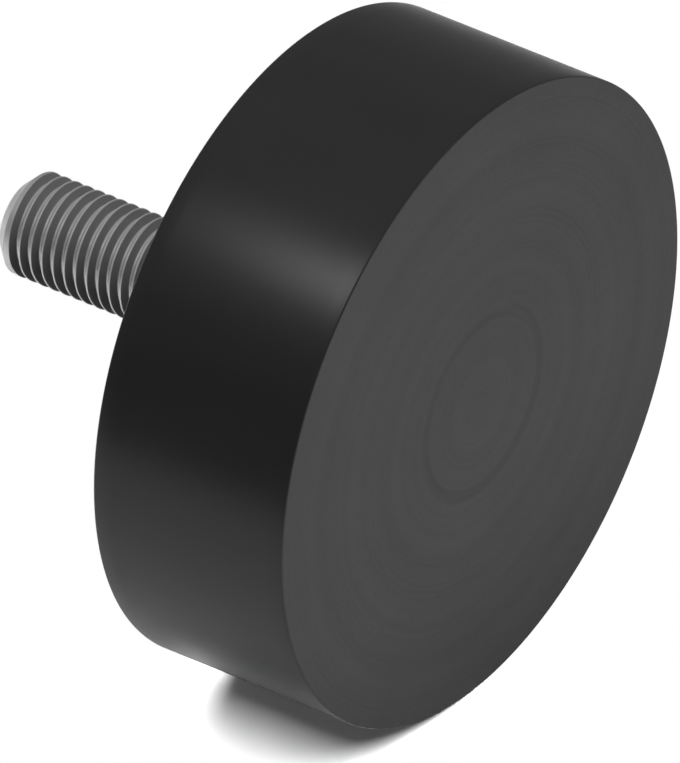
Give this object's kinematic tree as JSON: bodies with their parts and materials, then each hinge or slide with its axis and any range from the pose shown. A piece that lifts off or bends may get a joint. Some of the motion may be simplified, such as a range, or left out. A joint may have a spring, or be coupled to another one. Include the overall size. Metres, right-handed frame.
{
  "type": "rubber buffer",
  "caption": "Round rubber buffer moulded round a steel base plate, with a threaded stud that fixes it as an end stop or mount.",
  "frame": {"origin": "centre of the mounting face, where the stud's axis leaves the base plate", "axes": "+Z along the stud, away from the rubber; X and Y are free, because the part is round"},
  "size_m": [0.075, 0.075, 0.061],
  "materials": {
    "rubber": "matt black moulded rubber, with fine turned rings in the contact face",
    "plate_steel": "bright zinc plating on stamped steel",
    "stud_steel": "bright zinc plating on a rolled thread"
  },
  "bodies": {
    "root": {"rubber_body": "rubber", "base_plate": "plate_steel", "threaded_stud": "stud_steel"}
  },
  "joints": []
}
